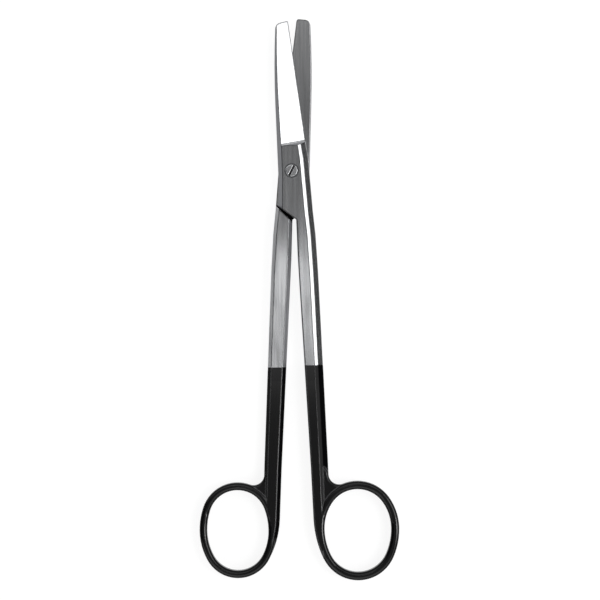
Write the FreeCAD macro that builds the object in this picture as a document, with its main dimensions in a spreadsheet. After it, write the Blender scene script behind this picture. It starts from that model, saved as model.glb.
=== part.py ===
import FreeCAD, Part
import os
import Sketcher
from FreeCAD import Vector
from math import tan

# Slim long-shanked surgical scissors of 200 mm, half open, lying flat.
# Two forged levers cross in a half-lapped joint and turn on one flush screw.
# +Y runs to the tips, +Z out of the screw head, and the origin is in the flat back
# of the joint, level with the screw and on the line down the middle of the scissors.
#
# Each lever is drawn closed, in a frame of its own: the middle line in X = 0,
# the face that meets the other lever in the plane Z = 0, the outer face towards +Z,
# the blade's back at -X and the shank at +X. The rear lever is the front one turned
# half round about Y, apart from its smaller ring, its blunter tip and its hole.

SIZES = {
    # Opening of each lever from the closed line, in degrees
    "half_opening": 2.0,
    # Axis of the screw, beside the middle line
    "pivot_x": -0.8,
    # Half-lapped joint
    "joint_half_thickness": 3.2,
    "joint_play": 0.02,
    "joint_back": 5.6,
    "lap_corner_x": 6.1,
    "lap_flare_y": -2.0,
    "lap_reach": 17.35,
    "lap_angle": 39.0,
    "shoulder_angle": 43.0,
    "shoulder_gap": 0.3,
    # Blade: its back, its ground facet and the ledge where the facet ends
    "back_bend_y": 24.0,
    "tip_back": 4.35,
    "edge_base_y": 11.6,
    "edge_thickness": 0.35,
    "facet_angle": 17.0,
    "ledge_y": 10.5,
    "ledge_skew": 3.5,
    "ledge_slope": 66.0,
    "ledge_radius": 0.8,
    "back_bevel_width": 1.45,
    "back_bevel_depth": 2.0,
    "face_bevel": 0.5,
    # Hollow ground into the inner face of each blade
    "hollow_start_y": 8.0,
    "hollow_radius": 46.0,
    "hollow_depth": 0.16,
    "hollow_turn": 2.0,
    "hollow_fall": 0.17,
    # Front blade
    "front_tip_y": 53.55,
    "front_tip_drop": 1.1,
    "front_tip_back_radius": 2.4,
    "front_tip_edge_radius": 0.5,
    "front_edge_tip_x": 0.13,
    "front_edge_base_x": 4.35,
    # Rear blade
    "rear_tip_y": 54.2,
    "rear_tip_drop": 0.3,
    "rear_tip_back_radius": 2.2,
    "rear_tip_edge_radius": 0.9,
    "rear_edge_tip_x": 0.45,
    "rear_edge_base_x": 4.6,
    # Shank: stations of its outer side and its inner edge
    "heel_x": 5.25,
    "heel_y": 4.5,
    "shoulder_x": 6.15,
    "shoulder_drop": 1.95,
    "neck_x": 6.76,
    "neck_y": -23.0,
    "throat_x": 7.1,
    "throat_y": -36.0,
    "waist_x": 7.28,
    "waist_y": -55.0,
    "level_x": 7.45,
    "level_y": -75.0,
    "crotch_x": 7.68,
    "crotch_y": -104.0,
    "inner_gap": 0.05,
    "inner_bend_y": -31.0,
    "inner_bow_x": 1.5,
    "inner_bow_y": -106.0,
    "inner_merge_x": 1.65,
    "inner_merge_rise": 4.2,
    "inner_merge_angle": 25.0,
    "shank_half_thickness": 2.3,
    "blank_spare": 1.5,
    # Bevels of the shank: widths in plan and slopes in degrees
    "crest_width": 3.0,
    "crest_slope": 30.0,
    "side_width": 1.85,
    "side_slope": 42.0,
    "under_outer_bevel": 1.2,
    "under_inner_bevel": 1.4,
    "inner_edge_bevel": 0.35,
    # Finger rings: a rounded wire bent round an egg-shaped opening
    "wire_rounding": 1.2,
    "crotch_radius": 3.8,
    "web_half_thickness": 1.8,
    "web_rounding": 0.9,
    # Opening of the front ring, and the wire round it
    "front_ring_x": 17.29,
    "front_ring_y": -128.2,
    "front_ring_tilt": -0.8,
    "front_ring_half_width": 11.85,
    "front_ring_top": 14.0,
    "front_ring_bottom": 15.55,
    "front_ring_top_radius": 10.9,
    "front_ring_bottom_radius": 10.8,
    "front_wire_width": 2.9,
    # Opening of the rear ring, and the wire round it
    "rear_ring_x": 16.53,
    "rear_ring_y": -128.5,
    "rear_ring_tilt": -2.9,
    "rear_ring_half_width": 10.9,
    "rear_ring_top": 14.3,
    "rear_ring_bottom": 14.3,
    "rear_ring_top_radius": 10.2,
    "rear_ring_bottom_radius": 9.8,
    "rear_wire_width": 2.7,
    # Pivot screw
    "screw_radius": 1.6,
    "screw_head_radius": 2.2,
    "screw_head_height": 1.5,
    "screw_sink": 0.05,
    "screw_clearance": 0.05,
    "screw_edge": 0.2,
    "slot_width": 0.8,
    "slot_depth": 0.7,
    "slot_turn": -27.0,
}

# Distance within which two places of a shape are taken as one
SAME_PLACE = 1e-4

doc = FreeCAD.newDocument("uterine_scissors")
sheet = doc.addObject("Spreadsheet::Sheet", "Dim")
for row, (alias, size) in enumerate(SIZES.items(), start=1):
    sheet.set(f"A{row}", alias)
    sheet.set(f"B{row}", str(size))
    sheet.setAlias(f"B{row}", alias)
doc.recompute()


def value(sketch, text):
    """The number that an expression of the sheet stands for."""
    found = sketch.evalExpression(text)
    return float(getattr(found, "Value", found))


def new_sketch(body, name, role="XY_Plane", offset=None):
    """A sketch on one of the body's own planes, moved by an expression."""
    plane = next(item for item in body.Origin.OriginFeatures if item.Role == role)
    sketch = body.newObject("Sketcher::SketchObject", name)
    sketch.AttachmentSupport = (plane, [""])
    sketch.MapMode = "FlatFace"
    if offset:
        sketch.setExpression("AttachmentOffset", offset)
    return sketch


def bind(sketch, kind, text, *where):
    """A dimension of a sketch that follows an expression of the sheet."""
    index = sketch.addConstraint(Sketcher.Constraint(kind, *where, value(sketch, text)))
    sketch.setExpression(f"Constraints[{index}]", text)


def pin(sketch, side, end, x, y):
    """Hold one point of a curve at a place given by two expressions."""
    bind(sketch, "DistanceX", x, -1, 1, side, end)
    bind(sketch, "DistanceY", y, -1, 1, side, end)


def end_at(sketch, side, place):
    """Which end of a side, 1 or 2, lies at a place."""
    ends = [sketch.getPoint(side, end).distanceToPoint(place) for end in (1, 2)]
    return 1 + ends.index(min(ends))


def tangent_arc(start, end, along):
    """The arc from start to end that leaves start in the direction along."""
    chord = end - start
    across = along - chord * (along.dot(chord) / chord.dot(chord))
    across.normalize()
    rise = chord.Length / 2 * tan(along.getAngle(chord) / 2)
    return Part.Arc(start, (start + end) / 2 + across * rise, end)


def loop(sketch, corners, arcs={}):
    """A closed run of sides through corners given as pairs of expressions.

    A side named in arcs is an arc, tangent to the side before it or after it.
    """
    places = [Vector(value(sketch, x), value(sketch, y), 0) for x, y in corners]
    count = len(places)
    first = sketch.GeometryCount
    for side in range(count):
        before, start = places[side - 1], places[side]
        end, after = places[(side + 1) % count], places[(side + 2) % count]
        if arcs.get(side) == "before":
            sketch.addGeometry(tangent_arc(start, end, start - before))
        elif arcs.get(side) == "after":
            sketch.addGeometry(tangent_arc(end, start, end - after))
        else:
            sketch.addGeometry(Part.LineSegment(start, end))
    for side in range(count):
        following = (side + 1) % count
        place = places[following]
        smooth = arcs.get(side) == "after" or arcs.get(following) == "before"
        ends = [first + side, end_at(sketch, first + side, place)]
        ends += [first + following, end_at(sketch, first + following, place)]
        sketch.addConstraint(Sketcher.Constraint("Tangent" if smooth else "Coincident", *ends))
        start = end_at(sketch, first + side, places[side])
        pin(sketch, first + side, start, *corners[side])


def egg(sketch, half_width, ends):
    """An egg about the sketch's origin: two end arcs and four side arcs, with no corner.

    Each end is a pair of expressions, its reach from the origin and its radius.
    """
    wide = value(sketch, half_width)
    for up, (reach, radius) in zip((1, -1), ends):
        small = value(sketch, radius)
        rise = value(sketch, reach) - small
        large = (rise**2 + wide**2 - small**2) / (2 * (wide - small))
        centre = Vector(0, up * rise, 0)
        joins = {}
        for right in (1, -1):
            ray = centre + Vector(right * (large - wide), 0, 0)
            joins[right] = centre + ray.normalize() * small
        end_arc = sketch.addGeometry(Part.Arc(joins[1], centre + Vector(0, up * small, 0), joins[-1]))
        pin(sketch, end_arc, 3, "0", f"{up} * (({reach}) - ({radius}))")
        bind(sketch, "Radius", radius, end_arc)
        for right, join in joins.items():
            foot = Vector(right * wide, 0, 0)
            hub = Vector(right * (wide - large), 0, 0)
            middle = hub + ((join + foot) / 2 - hub).normalize() * large
            side = sketch.addGeometry(Part.Arc(foot, middle, join))
            met = [end_arc, end_at(sketch, end_arc, join), side, end_at(sketch, side, join)]
            sketch.addConstraint(Sketcher.Constraint("Tangent", *met))
            pin(sketch, side, end_at(sketch, side, foot), f"{right} * ({half_width})", "0")
            bind(sketch, "DistanceY", "0", -1, 1, side, 3)


def circle(sketch, x, y, radius):
    """A circle whose centre and radius follow expressions."""
    centre = Vector(value(sketch, x), value(sketch, y), 0)
    side = sketch.addGeometry(Part.Circle(centre, Vector(0, 0, 1), value(sketch, radius)))
    pin(sketch, side, 3, x, y)
    bind(sketch, "Radius", radius, side)


def on_ring(own, across, up):
    """A place given along the ring's own tilted axes, from its middle."""
    tilt = f"{own}ring_tilt"
    return (
        f"{own}ring_x + ({across}) * cos({tilt}) - ({up}) * sin({tilt})",
        f"{own}ring_y + ({across}) * sin({tilt}) + ({up}) * cos({tilt})",
    )


def pad(body, name, sketch, length):
    """Material on both sides of a sketch, of a length in all."""
    feature = body.newObject("PartDesign::Pad", name)
    feature.Profile = sketch
    feature.SideType = "Symmetric"
    feature.setExpression("Length", length)
    doc.recompute()
    return feature


def pocket(body, name, sketch, side="Two sides", reversed_cut=False):
    """A cut through all that lies over a sketch, which must take something away."""
    before = body.Shape.Volume
    feature = body.newObject("PartDesign::Pocket", name)
    feature.Profile = sketch
    feature.Type = "ThroughAll"
    feature.Type2 = "ThroughAll"
    feature.SideType = side
    feature.Reversed = reversed_cut
    doc.recompute()
    if not feature.Shape.Volume < before:
        raise ValueError(f"{name} cuts nothing")
    return feature


def rim(shape, sketch, sides, lowest, highest):
    """Names of the level edges that follow some sides of a plan sketch, between two heights."""
    names = []
    curves = [sketch.Geometry[side].toShape() for side in sides]
    for number, edge in enumerate(shape.Edges, start=1):
        middle = edge.valueAt((edge.FirstParameter + edge.LastParameter) / 2)
        along = edge.tangentAt((edge.FirstParameter + edge.LastParameter) / 2)
        foot = Part.Vertex(middle.x, middle.y, 0)
        follows = any(curve.distToShape(foot)[0] < SAME_PLACE for curve in curves)
        if follows and lowest < middle.z < highest and abs(along.z) < 0.5:
            names.append(f"Edge{number}")
    return names


def upright(shape, x, y):
    """Names of the upright edges that stand at one place of the plan."""
    names = []
    for number, edge in enumerate(shape.Edges, start=1):
        ends = [Vector(vertex.X - x, vertex.Y - y, 0).Length for vertex in edge.Vertexes]
        if max(ends) < SAME_PLACE:
            names.append(f"Edge{number}")
    return names


def level_edges(shape):
    """Names of the edges that lie level."""
    names = []
    for number, edge in enumerate(shape.Edges, start=1):
        if abs(edge.tangentAt(edge.FirstParameter).z) < 0.5:
            names.append(f"Edge{number}")
    return names


def fillet(body, name, base, edges, radius):
    feature = body.newObject("PartDesign::Fillet", name)
    feature.Base = (base, edges)
    feature.setExpression("Radius", radius)
    doc.recompute()
    return feature


def bevel(body, name, base, edges, depth, width=None):
    """A chamfer that takes a depth off the wall and a width off the face, or the same off both."""
    feature = body.newObject("PartDesign::Chamfer", name)
    feature.Base = (base, edges)
    feature.setExpression("Size", depth)
    if width:
        feature.ChamferType = "Two distances"
        feature.setExpression("Size2", width)
    doc.recompute()
    return feature


def forge(side):
    """The blade, joint half and shank of one lever."""
    own = f"Dim.{side}_"
    body = doc.addObject("PartDesign::Body", f"{side}_forging")

    # Plan outline, from the lap's inner corner round the blade and down the shank
    plan = new_sketch(body, f"{side}_plan")
    lap_corner_y = "(Dim.lap_corner_x * tan(Dim.lap_angle) - Dim.lap_reach)"
    wire = f"{own}wire_width"
    low_reach = f"({own}ring_bottom_radius + {wire})"
    corners = [
        ("Dim.inner_gap", "-Dim.lap_reach"),
        ("-Dim.lap_corner_x", lap_corner_y),
        ("-Dim.joint_back", "Dim.lap_flare_y"),
        ("-Dim.joint_back", "Dim.back_bend_y"),
        ("-Dim.tip_back", f"{own}tip_y - {own}tip_drop"),
        (f"{own}edge_tip_x", f"{own}tip_y"),
        (f"{own}edge_base_x", "Dim.edge_base_y"),
        ("Dim.heel_x + Dim.blank_spare", "Dim.heel_y"),
        ("Dim.throat_x + Dim.blank_spare", "Dim.throat_y"),
        ("Dim.crotch_x + Dim.blank_spare", f"{own}ring_y + {own}ring_top - {wire} / 3"),
        on_ring(own, f"-({own}ring_half_width + {wire} / 2) * cos(Dim.inner_merge_angle)",
                f"({own}ring_top + {wire} / 2) * sin(Dim.inner_merge_angle)"),
        on_ring(own, f"-({own}ring_half_width + {wire} / 2)", "0"),
        on_ring(own, f"-{low_reach} * cos(Dim.inner_merge_angle)",
                f"{own}ring_bottom_radius - {own}ring_bottom - {low_reach} * sin(Dim.inner_merge_angle)"),
        ("Dim.inner_merge_x", f"{own}ring_y + Dim.inner_merge_rise"),
        ("Dim.inner_bow_x", "Dim.inner_bow_y"),
        ("Dim.inner_gap", "Dim.inner_bend_y"),
    ]
    loop(plan, corners, {3: "before", 12: "after"})
    back_sides, inner_sides = (1, 2, 3), (12, 13, 14, 15)
    blank = pad(body, f"{side}_blank", plan, "2 * Dim.joint_half_thickness")

    # The shank thins in a long double curve from the joint to its level part
    shoulder_y = f"({lap_corner_y} - Dim.shoulder_drop)"
    side_view = new_sketch(body, f"{side}_side_view", "YZ_Plane")
    far_y = f"{own}ring_y - 2 * {own}ring_bottom"
    for sign in ("", "-"):
        waste = [
            (f"{shoulder_y} + 1", f"{sign}Dim.joint_half_thickness"),
            (shoulder_y, f"{sign}Dim.joint_half_thickness"),
            (f"({shoulder_y} + Dim.level_y) / 2",
             f"{sign}(Dim.joint_half_thickness + Dim.shank_half_thickness) / 2"),
            ("Dim.level_y", f"{sign}Dim.shank_half_thickness"),
            (far_y, f"{sign}Dim.shank_half_thickness"),
            (far_y, f"{sign}2 * Dim.joint_half_thickness"),
            (f"{shoulder_y} + 1", f"{sign}2 * Dim.joint_half_thickness"),
        ]
        loop(side_view, waste, {1: "before", 2: "after"})
    pocket(body, f"{side}_thinning", side_view)

    # Outer side of the shank: two bevels above, one below, lofted through its stations
    stations = [
        (f"{own}edge_base_x", "Dim.edge_base_y"),
        ("Dim.heel_x", "Dim.heel_y"),
        ("Dim.shoulder_x", shoulder_y),
        ("Dim.neck_x", "Dim.neck_y"),
        ("Dim.throat_x", "Dim.throat_y"),
        ("Dim.waist_x", "Dim.waist_y"),
        ("Dim.level_x", "Dim.level_y"),
        ("Dim.crotch_x", "Dim.crotch_y"),
        ("Dim.crotch_x", f"{own}ring_y"),
    ]
    extra = "(Dim.joint_half_thickness - Dim.shank_half_thickness)"
    sections = []
    for number, (x, y) in enumerate(stations):
        run = f"min(1; max(0; ({shoulder_y} - ({y})) / ({shoulder_y} - Dim.level_y)))"
        fall = f"({run} < 0.5 ? 2 * {run}^2 : 1 - 2 * (1 - {run})^2)"
        half = f"(Dim.joint_half_thickness - {extra} * {fall})"
        section = new_sketch(body, f"{side}_station_{number}", "XZ_Plane",
                             f"placement(vector(0; 0; -({y})); rotationz(0))")
        crest_drop = "(Dim.crest_width - Dim.side_width) * tan(Dim.crest_slope)"
        side_drop = "Dim.side_width * tan(Dim.side_slope)"
        loop(section, [
            (f"{x} - Dim.crest_width - 1", f"{half} + tan(Dim.crest_slope)"),
            (f"{x} - Dim.side_width", f"{half} - {crest_drop}"),
            (x, f"{half} - {crest_drop} - {side_drop}"),
            (x, f"Dim.under_outer_bevel - {half}"),
            (f"{x} - Dim.under_outer_bevel - 1", f"-{half} - 1"),
            (f"{x} + 2 * Dim.blank_spare", f"-{half} - 1"),
            (f"{x} + 2 * Dim.blank_spare", f"{half} + tan(Dim.crest_slope)"),
        ])
        sections.append(section)
    outer_side = body.newObject("PartDesign::SubtractiveLoft", f"{side}_outer_side")
    outer_side.Profile = sections[0]
    outer_side.Sections = sections[1:]
    outer_side.Ruled = True
    doc.recompute()

    # Bevels of the outer face, along the blade's back and the shank's inner edge
    low = 0.99 * value(plan, "Dim.shank_half_thickness")
    high = 1.01 * value(plan, "Dim.joint_half_thickness")
    edges = rim(outer_side.Shape, plan, back_sides, low, high)
    backed = bevel(body, f"{side}_back_bevel", outer_side, edges,
                   "Dim.back_bevel_depth", "Dim.back_bevel_width")
    edges = rim(backed.Shape, plan, inner_sides, low, high)
    bevel(body, f"{side}_inner_edge_bevel", backed, edges, "Dim.inner_edge_bevel")

    # Half lap: the inner half of the joint and blade goes, down to the sloping shoulder
    lap = new_sketch(body, f"{side}_lap", offset="placement(vector(0; 0; Dim.joint_play / 2); rotationz(0))")
    reach = "4 * Dim.joint_back"
    foot = f"{lap_corner_y} - Dim.shoulder_gap"
    far = f"{own}tip_y + {reach}"
    waste = [
        (f"-{reach}", f"{foot} - ({reach} + Dim.lap_corner_x) * tan(Dim.shoulder_angle)"),
        (reach, f"{foot} + ({reach} - Dim.lap_corner_x) * tan(Dim.shoulder_angle)"),
        (reach, far),
        (f"-{reach}", far),
    ]
    loop(lap, waste)
    lapped = pocket(body, f"{side}_half_lap", lap, "One side")

    # Bevels of the inner face, along the shank's inner edge and the blade's back
    edges = rim(lapped.Shape, plan, inner_sides, -high, -low)
    under = bevel(body, f"{side}_under_inner_bevel", lapped, edges, "Dim.under_inner_bevel")
    edges = rim(under.Shape, plan, back_sides[1:], 0, value(plan, "Dim.joint_play"))
    bevel(body, f"{side}_face_bevel", under, edges, "Dim.face_bevel")

    # Ground facet, sloping to the cutting edge, with the ledge at its lower end
    turn = f"atan(({own}edge_base_x - {own}edge_tip_x) / ({own}tip_y - Dim.edge_base_y))"
    base = f"vector({own}edge_base_x; Dim.edge_base_y; Dim.edge_thickness)"
    turns = f"rotationz({turn}) * rotationy(Dim.facet_angle) * rotationz(Dim.ledge_skew)"
    across = "rotationz(90) * rotationx(90)"
    facet = new_sketch(body, f"{side}_facet", offset=f"placement({base}; {turns} * {across})")
    start = "Dim.ledge_y - Dim.edge_base_y"
    run = "Dim.ledge_radius * tan(Dim.ledge_slope / 2)"
    tall = "2 * Dim.joint_half_thickness"
    waste = [
        (f"{start} - {tall} * cos(Dim.ledge_slope)", f"{tall} * sin(Dim.ledge_slope)"),
        (f"{start} - {run} * cos(Dim.ledge_slope)", f"{run} * sin(Dim.ledge_slope)"),
        (f"{start} + {run}", "0"),
        (f"{own}tip_y", "0"),
        (f"{own}tip_y", f"{tall} * sin(Dim.ledge_slope)"),
    ]
    loop(facet, waste, {1: "before"})
    ground = pocket(body, f"{side}_ground_facet", facet)

    # Rounded corners of the blunt tip
    tip_back = upright(ground.Shape, value(plan, corners[4][0]), value(plan, corners[4][1]))
    rounded = fillet(body, f"{side}_tip_back", ground, tip_back, f"{own}tip_back_radius")
    tip_edge = upright(rounded.Shape, value(plan, corners[5][0]), value(plan, corners[5][1]))
    fillet(body, f"{side}_tip_edge", rounded, tip_edge, f"{own}tip_edge_radius")

    # Shallow hollow along the inner face, which leaves the two edges to meet
    middle_x = f"({own}edge_base_x - Dim.joint_back) / 2"
    turns = "rotationy(Dim.hollow_turn) * rotationx(-Dim.hollow_fall)"
    hollow = new_sketch(body, f"{side}_hollow", "XZ_Plane",
                        f"placement(vector({middle_x}; 0; -Dim.hollow_start_y); {turns})")
    depth = "Dim.joint_play / 2 + Dim.hollow_depth"
    circle(hollow, "0", f"{depth} - Dim.hollow_radius", "Dim.hollow_radius")
    pocket(body, f"{side}_hollow_grind", hollow, "One side")

    # Screw hole: running clearance and a seat for the head in front, thread behind
    hole = new_sketch(body, f"{side}_hole")
    if side == "rear":
        circle(hole, "-Dim.pivot_x * cos(Dim.half_opening)", "Dim.pivot_x * sin(Dim.half_opening)",
               "Dim.screw_radius")
        pocket(body, "rear_thread_hole", hole)
        return body
    axis = ("Dim.pivot_x * cos(Dim.half_opening)", "-Dim.pivot_x * sin(Dim.half_opening)")
    circle(hole, *axis, "Dim.screw_radius + Dim.screw_clearance")
    pocket(body, "front_screw_hole", hole)
    floor = "Dim.joint_half_thickness - Dim.screw_sink - Dim.screw_head_height - Dim.screw_clearance"
    seat = new_sketch(body, "front_seat", offset=f"placement(vector(0; 0; {floor}); rotationz(0))")
    circle(seat, *axis, "Dim.screw_head_radius + Dim.screw_clearance")
    pocket(body, "front_head_seat", seat, "One side", reversed_cut=True)
    return body


def ring(side):
    """The finger ring of one lever: a rounded wire bent to the shape of an egg."""
    own = f"Dim.{side}_"
    body = doc.addObject("PartDesign::Body", f"{side}_ring_wire")
    place = f"placement(vector({own}ring_x; {own}ring_y; 0); rotationz({own}ring_tilt))"
    plan = new_sketch(body, f"{side}_ring_plan", offset=place)
    for width in (f"{own}wire_width", "0"):
        egg(plan, f"{own}ring_half_width + {width}", [
            (f"{own}ring_top + {width}", f"{own}ring_top_radius + {width}"),
            (f"{own}ring_bottom + {width}", f"{own}ring_bottom_radius + {width}"),
        ])
    wire = pad(body, f"{side}_wire", plan, "2 * Dim.shank_half_thickness")
    fillet(body, f"{side}_wire_rounding", wire, level_edges(wire.Shape), "Dim.wire_rounding")
    return body


def web(side):
    """The web in the crotch: its edge is an arc tangent to the shank and to the ring."""
    own = f"Dim.{side}_"
    body = doc.addObject("PartDesign::Body", f"{side}_crotch_web")
    end_x, end_y = on_ring(own, "0", f"{own}ring_top - {own}ring_top_radius")
    outside = f"({own}ring_top_radius + {own}wire_width)"
    middle = f"({own}ring_top_radius + {own}wire_width / 2)"
    span = f"({outside} + Dim.crotch_radius)"
    step_x = f"(Dim.crotch_x + Dim.crotch_radius - ({end_x}))"
    step_y = f"sqrt({span}^2 - {step_x}^2)"
    inside_x = "Dim.crotch_x - Dim.side_width"
    plan = new_sketch(body, f"{side}_web_plan")
    loop(plan, [
        (inside_x, f"{own}ring_y + 0.75 * {own}ring_top"),
        (inside_x, f"{end_y} + {step_y} + 2 * Dim.side_width"),
        ("Dim.crotch_x", f"{end_y} + {step_y} + Dim.web_rounding"),
        ("Dim.crotch_x", f"{end_y} + {step_y}"),
        (f"{end_x} + {step_x} * {outside} / {span}", f"{end_y} + {step_y} * {outside} / {span}"),
        (f"{end_x} + {step_x} * {middle} / {span}", f"{end_y} + {step_y} * {middle} / {span}"),
    ], {3: "before"})
    filled = pad(body, f"{side}_web", plan, "2 * Dim.web_half_thickness")
    reach = value(plan, "2 * Dim.web_half_thickness")
    edges = rim(filled.Shape, plan, (1, 2, 3), -reach, reach)
    fillet(body, f"{side}_web_rounding", filled, edges, "Dim.web_rounding")
    return body


def lever(side, placement):
    """One forged lever: its blade and shank made one with its finger ring."""
    node = doc.addObject("Part::MultiFuse", f"{side}_lever")
    node.Shapes = [forge(side), ring(side), web(side)]
    node.Refine = True
    node.setExpression("Placement", placement)
    doc.recompute()
    return node


def pivot_screw():
    """The flush slotted screw, turned from bar, with its slot milled across the head."""
    body = doc.addObject("PartDesign::Body", "pivot_screw")
    section = new_sketch(body, "screw_section", "XZ_Plane")
    top = "Dim.joint_half_thickness - Dim.screw_sink"
    loop(section, [
        ("0", f"-({top})"),
        ("Dim.screw_radius", f"-({top})"),
        ("Dim.screw_radius", f"{top} - Dim.screw_head_height"),
        ("Dim.screw_head_radius", f"{top} - Dim.screw_head_height"),
        ("Dim.screw_head_radius", f"{top} - Dim.screw_edge"),
        ("Dim.screw_head_radius - Dim.screw_edge", top),
        ("0", top),
    ])
    turned = body.newObject("PartDesign::Revolution", "screw_turning")
    turned.Profile = section
    turned.ReferenceAxis = (section, ["V_Axis"])
    turned.Angle = 360
    doc.recompute()
    slot = new_sketch(body, "screw_slot_plan", offset=(
        f"placement(vector(0; 0; {top} - Dim.slot_depth); rotationz(Dim.slot_turn))"))
    loop(slot, [
        ("-Dim.slot_width / 2", "-2 * Dim.screw_head_radius"),
        ("Dim.slot_width / 2", "-2 * Dim.screw_head_radius"),
        ("Dim.slot_width / 2", "2 * Dim.screw_head_radius"),
        ("-Dim.slot_width / 2", "2 * Dim.screw_head_radius"),
    ])
    pocket(body, "screw_slot", slot, "One side", reversed_cut=True)
    place = "placement(vector(Dim.pivot_x; 0; Dim.joint_half_thickness); rotationz(0))"
    body.setExpression("Placement", place)
    doc.recompute()
    return body


place = "placement(vector(0; 0; Dim.joint_half_thickness); "
nodes = [
    lever("front", place + "rotationz(Dim.half_opening))"),
    lever("rear", place + "rotationz(-Dim.half_opening) * rotationy(180))"),
    pivot_screw(),
]

for item in doc.Objects:
    if "Invalid" in item.State or "Error" in item.State:
        raise ValueError(f"{item.Name} has failed")
for node in nodes:
    if node.Shape.isNull() or not node.Shape.isValid() or len(node.Shape.Solids) != 1:
        raise ValueError(f"{node.Label} is not one sound solid")

os.makedirs("parts", exist_ok=True)
for node in nodes:
    node.Shape.exportStep(f"parts/{node.Label}.step")
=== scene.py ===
import bpy
from math import pi, radians
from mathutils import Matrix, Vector

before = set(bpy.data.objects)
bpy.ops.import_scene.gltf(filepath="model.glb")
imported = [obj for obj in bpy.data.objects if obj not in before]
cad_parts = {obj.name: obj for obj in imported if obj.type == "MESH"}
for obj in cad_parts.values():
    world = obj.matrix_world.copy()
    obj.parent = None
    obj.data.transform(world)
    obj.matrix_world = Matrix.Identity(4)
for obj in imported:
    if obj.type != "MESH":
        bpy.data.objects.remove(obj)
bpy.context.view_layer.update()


# Camera: it hangs high above the table and looks straight down through a long lens.
# The scissors fill the height of its picture, and it is turned half a degree to them.
MM = 0.001
SENSOR_WIDTH = 36.0
PICTURE_WIDTH = 600 * 0.3559 * MM
CAMERA_HEIGHT = 0.75
CAMERA_TURN = -0.46
FOCUS = (1.8 * MM, -46.0 * MM, 4.5 * MM)

camera_data = bpy.data.cameras.new("camera")
camera_data.sensor_width = SENSOR_WIDTH
camera_data.lens = SENSOR_WIDTH * (CAMERA_HEIGHT - FOCUS[2]) / PICTURE_WIDTH
camera_data.clip_start = 0.05
camera_data.clip_end = 20.0
camera = bpy.data.objects.new("camera", camera_data)
camera.location = (FOCUS[0], FOCUS[1], CAMERA_HEIGHT)
camera.rotation_euler = (0, 0, radians(CAMERA_TURN))
bpy.context.collection.objects.link(camera)
bpy.context.scene.camera = camera
bpy.context.scene.view_settings.view_transform = "Standard"


# Table top: a sheet of matt pale laminate, larger than the view, just under the scissors.
# Where it is seen it also glows, which brings it up to white, and it keeps their shadow.
def linear(text):
    """The linear colour of an sRGB hex value, with alpha 1."""
    parts = [int(text[i:i + 2], 16) / 255 for i in (1, 3, 5)]
    return [c / 12.92 if c <= 0.04045 else ((c + 0.055) / 1.055) ** 2.4 for c in parts] + [1.0]


def node(tree, kind, settings={}):
    """Add a node. A setting goes to an attribute or an input; a node or a socket is linked."""
    made = tree.nodes.new(kind)
    for key, setting in settings.items():
        if isinstance(setting, bpy.types.Node):
            setting = setting.outputs[0]
        if isinstance(setting, bpy.types.NodeSocket):
            tree.links.new(setting, made.inputs[key])
        elif isinstance(key, int) or key in made.inputs:
            made.inputs[key].default_value = setting
        else:
            setattr(made, key, setting)
    return made


def seen(tree):
    """1 where a surface is seen by the camera, in a gloss or through glass, else 0."""
    path = node(tree, "ShaderNodeLightPath")
    mirrored = node(tree, "ShaderNodeMath", {
        "operation": "MAXIMUM", 0: path.outputs["Is Camera Ray"], 1: path.outputs["Is Glossy Ray"]})
    return node(tree, "ShaderNodeMath", {
        "operation": "MAXIMUM", 0: mirrored, 1: path.outputs["Is Transmission Ray"]})


def bare_material(name):
    """A new material that has no nodes yet."""
    made = bpy.data.materials.new(name)
    made.use_nodes = True
    made.node_tree.nodes.clear()
    return made


def flat_sheet(name, corners, material):
    """A flat sheet with four corners, of one material."""
    mesh = bpy.data.meshes.new(name)
    mesh.from_pydata(corners, [], [(0, 1, 2, 3)])
    mesh.materials.append(material)
    made = bpy.data.objects.new(name, mesh)
    bpy.context.collection.objects.link(made)
    return made


WHITE = linear("#FFFFFF")
PALE_LAMINATE = linear("#868686")
TABLE_GLOW = 0.86
TABLE_HALF = 2.0
TABLE_LEVEL = -0.05 * MM

laminate = bare_material("pale_matt_laminate")
tree = laminate.node_tree
matt = node(tree, "ShaderNodeBsdfDiffuse", {"Color": PALE_LAMINATE})
level = node(tree, "ShaderNodeMath", {"operation": "MULTIPLY", 0: seen(tree), 1: TABLE_GLOW})
glow = node(tree, "ShaderNodeEmission", {"Color": WHITE, "Strength": level})
glowing = node(tree, "ShaderNodeAddShader", {0: matt, 1: glow})
node(tree, "ShaderNodeOutputMaterial", {"Surface": glowing})

table = flat_sheet("table_top", [
    (-TABLE_HALF, -TABLE_HALF, TABLE_LEVEL), (TABLE_HALF, -TABLE_HALF, TABLE_LEVEL),
    (TABLE_HALF, TABLE_HALF, TABLE_LEVEL), (-TABLE_HALF, TABLE_HALF, TABLE_LEVEL)], laminate)


# Room: plain walls, far off, light the table softly from all sides.
# Where they are seen, straight or in a gloss, they are the white of paper.
ROOM_LIGHT = 0.9
PAPER_WHITE = 1.0

world = bpy.data.worlds.new("studio")
bpy.context.scene.world = world
world.use_nodes = True
tree = world.node_tree
tree.nodes.clear()
room = node(tree, "ShaderNodeBackground", {"Color": WHITE, "Strength": ROOM_LIGHT})
paper = node(tree, "ShaderNodeBackground", {"Color": WHITE, "Strength": PAPER_WHITE})
walls = node(tree, "ShaderNodeMixShader", {0: seen(tree), 1: room, 2: paper})
node(tree, "ShaderNodeOutputWorld", {"Surface": walls})


# Cloths and cards round the table, as for any polished metal: they are what the steel mirrors.
# Grey cloths above give the flat faces their tone. The dark cloth at the left and the black card
# above draw dark lines along the eased edges, and the low card at the right darkens the side bevels.
SHEET_HEIGHT = 1.1
SHEET_NEAR = -0.5
SHEET_FAR = 0.4


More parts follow.
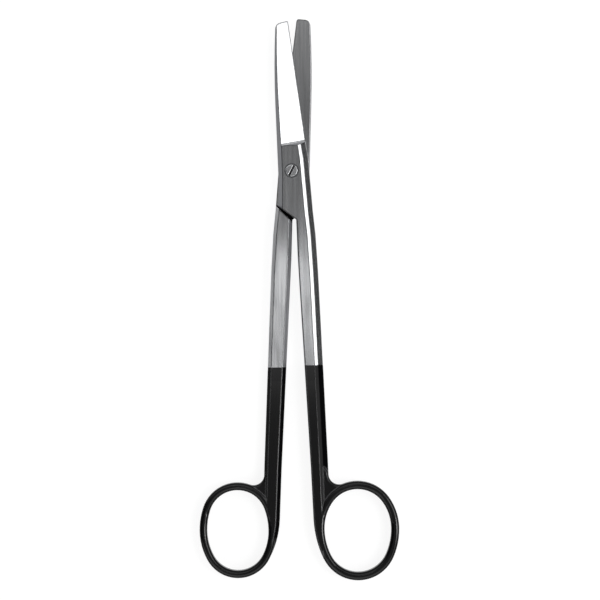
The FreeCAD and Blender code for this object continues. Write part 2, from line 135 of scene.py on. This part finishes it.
def hang(name, grey, corners):
    """A plain sheet that glows in its own grey: only the object mirrors it, no view shows it."""
    material = bare_material(name)
    tree = material.node_tree
    glow = node(tree, "ShaderNodeEmission", {"Color": linear(grey), "Strength": 1.0})
    node(tree, "ShaderNodeOutputMaterial", {"Surface": glow})
    made = flat_sheet(name, corners, material)
    made.visible_camera = False


def level_sheet(name, grey, left, right, near=SHEET_NEAR, far=SHEET_FAR):
    """A sheet that hangs level over the table."""
    hang(name, grey, [(left, near, SHEET_HEIGHT), (right, near, SHEET_HEIGHT),
                      (right, far, SHEET_HEIGHT), (left, far, SHEET_HEIGHT)])


def upright_sheet(name, grey, x, top):
    """A sheet that stands on the table beside the scissors."""
    hang(name, grey, [(x, SHEET_NEAR, 0.0), (x, SHEET_NEAR, top), (x, SHEET_FAR, top), (x, SHEET_FAR, 0.0)])


level_sheet("grey_cloth_near", "#7C7C7C", -0.25, 0.2, far=0.09)
level_sheet("grey_cloth_middle", "#6A6A6A", -0.25, 0.2, near=0.09, far=0.16)
level_sheet("grey_cloth_far", "#A0A0A0", -0.25, 0.2, near=0.16)
level_sheet("dark_cloth_left", "#2C2C2C", -1.2, -0.25)
level_sheet("black_card_above", "#101010", 0.2, 0.6)
upright_sheet("grey_cloth_left", "#505050", -1.2, SHEET_HEIGHT)
upright_sheet("black_card_right", "#101010", 0.35, 0.08)


# Lamps: a large soft box at the right, which whitens the front blade's facet and the right
# shank's crest, a small lamp for the glints on handles and rings, and one behind the camera, which
# brightens the flat faces halfway down the shanks. All three face the middle of the scissors.
def lamp(name, place, size, radiance):
    """A rectangular soft lamp, as bright to look at as its radiance."""
    data = bpy.data.lights.new(name, "AREA")
    data.shape = "RECTANGLE"
    data.size, data.size_y = size
    data.energy = radiance * pi * size[0] * size[1]
    made = bpy.data.objects.new(name, data)
    made.location = place
    made.rotation_euler = (Vector(place) - Vector(FOCUS)).to_track_quat("Z", "Y").to_euler()
    bpy.context.collection.objects.link(made)


lamp("soft_box", (0.78, FOCUS[1], 0.77), (0.68, 1.0), 1.6)
lamp("handle_lamp", (0.585, FOCUS[1] - 0.15, 0.75), (0.14, 0.2), 9.0)
lamp("ring_lamp", (FOCUS[0], FOCUS[1] - 0.02, CAMERA_HEIGHT + 0.02), (0.09, 0.07), 1.1)


# Levers: two forgings of stainless steel, each with its finger ring, which cross in a half lap.
# They are ground along their length to a satin face and tumbled, which eases every edge. Handles and rings
# are then coated thinly in black. Both ride on bodies of their own.
STEEL = linear("#DADBDD")
STREAKED_STEEL = linear("#C4C5C7")
# Painted shade: a darker steel for the steep bevels, standing in for how they face away from the light
BEVEL_SHADE_STEEL = linear("#7C7D80")
BLASTED_STEEL = linear("#C4C5C7")
# Painted shade: a dark line beside the edges of the broad faces
EDGE_LINE_SHADE = linear("#2E2F30")
# Painted shade: near black for the lap floor beside the shoulder and the bottom of the screw slot
RECESS_SHADE = linear("#0C0C0C")
COATING = linear("#080809")
COAT_EDGE = {"front_lever": -69.2 * MM, "rear_lever": -69.9 * MM}
COAT_ROUGHNESS = 0.12
EASED_EDGE = 0.45 * MM
EDGE_LINE = 0.55 * MM
LINE_ROUGHNESS = 0.5
LAP_LEVEL = 3.2 * MM
LAP_MARGIN = 0.1 * MM
LAP_END = -12.2 * MM

# Width and length of the grains of each pattern: the lines left by the grinding belt are drawn
# about ten times as wide as they are, so that they show
GRINDING_LINES = (0.4 * MM, 16.667 * MM)
HAND_WAVES = (4.0 * MM, 16.667 * MM)
GRINDING_STREAKS = (1.111 * MM, 40.0 * MM)
LINE_DEPTH = 0.03 * MM
WAVE_DEPTH = 0.15 * MM

# How far a face looks up is 1 on the flat faces, 0.96 on the facets, 0.87 on the crests, 0.74 on the side
# bevels, 0.59 on the bevels of the backs and 0 on the walls: each finish and each painted shade has its
# range
FLAT_FACES = 0.9
BROAD_FACES = {"From Min": 0.8, "From Max": 0.85}
SHADED_BEVELS = {"From Min": 0.76, "From Max": 0.6}
BLASTED_WALLS = {"From Min": 0.5, "From Max": 0.3}
SATIN_TO_MATT = {"From Min": 0.73, "From Max": 0.68, "To Min": 0.16, "To Max": 0.4}
# Painted shade: the coat reflects less on steep faces
STEEP_COAT_SHADE = {"From Min": 0.87, "From Max": 0.92, "To Min": 0.1, "To Max": 0.5}

# How alike a place and its surroundings face is 1 inside a face and less beside an edge
MATT_AND_SHADED_LINE = {"From Min": 0.9992, "From Max": 0.996}
# Painted highlight: bright bare steel mixed into the coat beside its edges
EDGE_HIGHLIGHT = {"From Min": 0.985, "From Max": 0.96, "To Max": 0.14}
STREAK_STRENGTH = {"From Min": 0.35, "From Max": 0.65}


def drawn_out(tree, place, grain, detail):
    """A pattern of grains of a width and a length, which lie along the lever."""
    width, length = grain
    stretched = node(tree, "ShaderNodeMapping", {
        "Vector": place, "Scale": (1 / width, 1 / length, 1 / width)})
    return node(tree, "ShaderNodeTexNoise", {"Vector": stretched, "Scale": 1.0, "Detail": detail})


def lever_material(name):
    """Satin ground stainless steel, bright on broad faces, with a coated handle; painted shade on its steep
    bevels, along its edge lines and on the lap floor, and painted highlights along the coat's edges.
    """
    made = bare_material(f"satin_stainless_steel_{name}")
    tree = made.node_tree
    coordinates = node(tree, "ShaderNodeTexCoord")
    place = coordinates.outputs["Object"]
    axes = node(tree, "ShaderNodeSeparateXYZ", {"Vector": place})
    facing = node(tree, "ShaderNodeSeparateXYZ", {"Vector": coordinates.outputs["Normal"]})
    upward = node(tree, "ShaderNodeMath", {"operation": "ABSOLUTE", 0: facing.outputs["Z"]})
    coated = node(tree, "ShaderNodeMath", {
        "operation": "LESS_THAN", 0: axes.outputs["Y"], 1: COAT_EDGE[name]})

    # The floor of the half lap beside the shoulder, painted near black as the shade deep in the gap
    above_lap = node(tree, "ShaderNodeMath", {"operation": "SUBTRACT", 0: axes.outputs["Z"], 1: LAP_LEVEL})
    off_lap = node(tree, "ShaderNodeMath", {"operation": "ABSOLUTE", 0: above_lap})
    at_lap = node(tree, "ShaderNodeMath", {"operation": "LESS_THAN", 0: off_lap, 1: LAP_MARGIN})
    below = node(tree, "ShaderNodeMath", {"operation": "LESS_THAN", 0: axes.outputs["Y"], 1: LAP_END})
    flat = node(tree, "ShaderNodeMath", {"operation": "GREATER_THAN", 0: upward, 1: FLAT_FACES})
    floor = node(tree, "ShaderNodeMath", {"operation": "MULTIPLY", 0: at_lap, 1: below})
    shaded_lap_floor = node(tree, "ShaderNodeMath", {"operation": "MULTIPLY", 0: floor, 1: flat})

    # Edges eased by the tumbling, the waves of the hand at the belt, and its fine lines
    eased = node(tree, "ShaderNodeBevel", {"samples": 6, "Radius": EASED_EDGE})
    waves = drawn_out(tree, place, HAND_WAVES, 1.0)
    waved = node(tree, "ShaderNodeBump", {
        "Height": waves, "Normal": eased, "Strength": 0.5, "Distance": WAVE_DEPTH})
    lines = drawn_out(tree, place, GRINDING_LINES, 3.0)
    lined = node(tree, "ShaderNodeBump", {
        "Height": lines, "Normal": waved, "Strength": 0.06, "Distance": LINE_DEPTH})

    # A thin line along the edges of the broad faces, rougher from the tumbling and darkened there as
    # painted shade
    around = node(tree, "ShaderNodeBevel", {"samples": 6, "Radius": EDGE_LINE})
    here = node(tree, "ShaderNodeNewGeometry").outputs["Normal"]
    dot = node(tree, "ShaderNodeVectorMath", {"operation": "DOT_PRODUCT", 0: around, 1: here})
    alike = dot.outputs["Value"]
    broad = node(tree, "ShaderNodeMapRange", {"Value": upward, **BROAD_FACES})
    beside = node(tree, "ShaderNodeMapRange", {"Value": alike, **MATT_AND_SHADED_LINE})
    edge = node(tree, "ShaderNodeMath", {"operation": "MULTIPLY", 0: broad, 1: beside})

    # Steel: streaked lengthwise where ground, rougher on steep bevels and darkened there as painted shade,
    # matt on the walls, with painted shade in a line beside the edges and on the lap floor
    streaks = drawn_out(tree, place, GRINDING_STREAKS, 2.0)
    streaked = node(tree, "ShaderNodeMapRange", {"Value": streaks, **STREAK_STRENGTH})
    steep = node(tree, "ShaderNodeMapRange", {"Value": upward, **SHADED_BEVELS})
    wall = node(tree, "ShaderNodeMapRange", {"Value": upward, **BLASTED_WALLS})
    colour = STEEL
    for share, other in ((streaked, STREAKED_STEEL), (steep, BEVEL_SHADE_STEEL), (wall, BLASTED_STEEL),
                         (edge, EDGE_LINE_SHADE), (shaded_lap_floor, RECESS_SHADE)):
        mix = node(tree, "ShaderNodeMix", {"data_type": "RGBA", 0: share, 6: colour, 7: other})
        colour = mix.outputs[2]
    satin = node(tree, "ShaderNodeMapRange", {"Value": upward, **SATIN_TO_MATT})
    dulled = node(tree, "ShaderNodeMath", {"operation": "MULTIPLY", 0: edge, 1: LINE_ROUGHNESS})
    rough = node(tree, "ShaderNodeMath", {"operation": "MAXIMUM", 0: dulled, 1: satin})
    steel = node(tree, "ShaderNodeBsdfPrincipled", {
        "Metallic": 1.0, "Base Color": colour, "Roughness": rough, "Normal": lined})

    # Coating: black and half glossy, with painted highlights of bare steel along its edges and its
    # reflection dimmed on steep faces as painted shade
    painted_edge_highlight = node(tree, "ShaderNodeMapRange", {"Value": alike, **EDGE_HIGHLIGHT})
    black = node(tree, "ShaderNodeMix", {"data_type": "RGBA", 0: painted_edge_highlight, 6: COATING, 7: STEEL})
    glossy = node(tree, "ShaderNodeMapRange", {"Value": upward, **STEEP_COAT_SHADE})
    coat = node(tree, "ShaderNodeBsdfPrincipled", {
        "Base Color": black.outputs[2], "Metallic": painted_edge_highlight, "Roughness": COAT_ROUGHNESS,
        "Specular IOR Level": glossy, "Normal": eased})
    finished = node(tree, "ShaderNodeMixShader", {0: coated, 1: steel, 2: coat})
    node(tree, "ShaderNodeOutputMaterial", {"Surface": finished})
    return made


for name in ("front_lever", "rear_lever"):
    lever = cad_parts[name]
    lever.data.materials.clear()
    lever.data.materials.append(lever_material(name))


# Pivot screw: stainless bar, turned to a smooth flat head with a broken edge and slotted by a saw. It is
# screwed home flush with the front lever, and the bottom of its slot is painted dark as shade.
BROKEN_EDGE = 0.3 * MM
SLOT_WIDTH = 0.8 * MM
TURNED_ROUGHNESS = 0.22
# Painted shade: the colour darkens towards black where the slot closes in
SHADE_IN_SLOT = {"From Min": 0.9, "From Max": 0.6}

screw_steel = bare_material("turned_stainless_steel")
tree = screw_steel.node_tree
open_sky = node(tree, "ShaderNodeAmbientOcclusion", {
    "samples": 8, "only_local": True, "Distance": SLOT_WIDTH}).outputs["AO"]
deep = node(tree, "ShaderNodeMapRange", {"Value": open_sky, **SHADE_IN_SLOT})
slot_shaded = node(tree, "ShaderNodeMix", {"data_type": "RGBA", 0: deep, 6: STEEL, 7: RECESS_SHADE})
broken = node(tree, "ShaderNodeBevel", {"samples": 6, "Radius": BROKEN_EDGE})
turned = node(tree, "ShaderNodeBsdfPrincipled", {
    "Metallic": 1.0, "Base Color": slot_shaded.outputs[2], "Roughness": TURNED_ROUGHNESS, "Normal": broken})
node(tree, "ShaderNodeOutputMaterial", {"Surface": turned})
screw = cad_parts["pivot_screw"]
screw.data.materials.clear()
screw.data.materials.append(screw_steel)
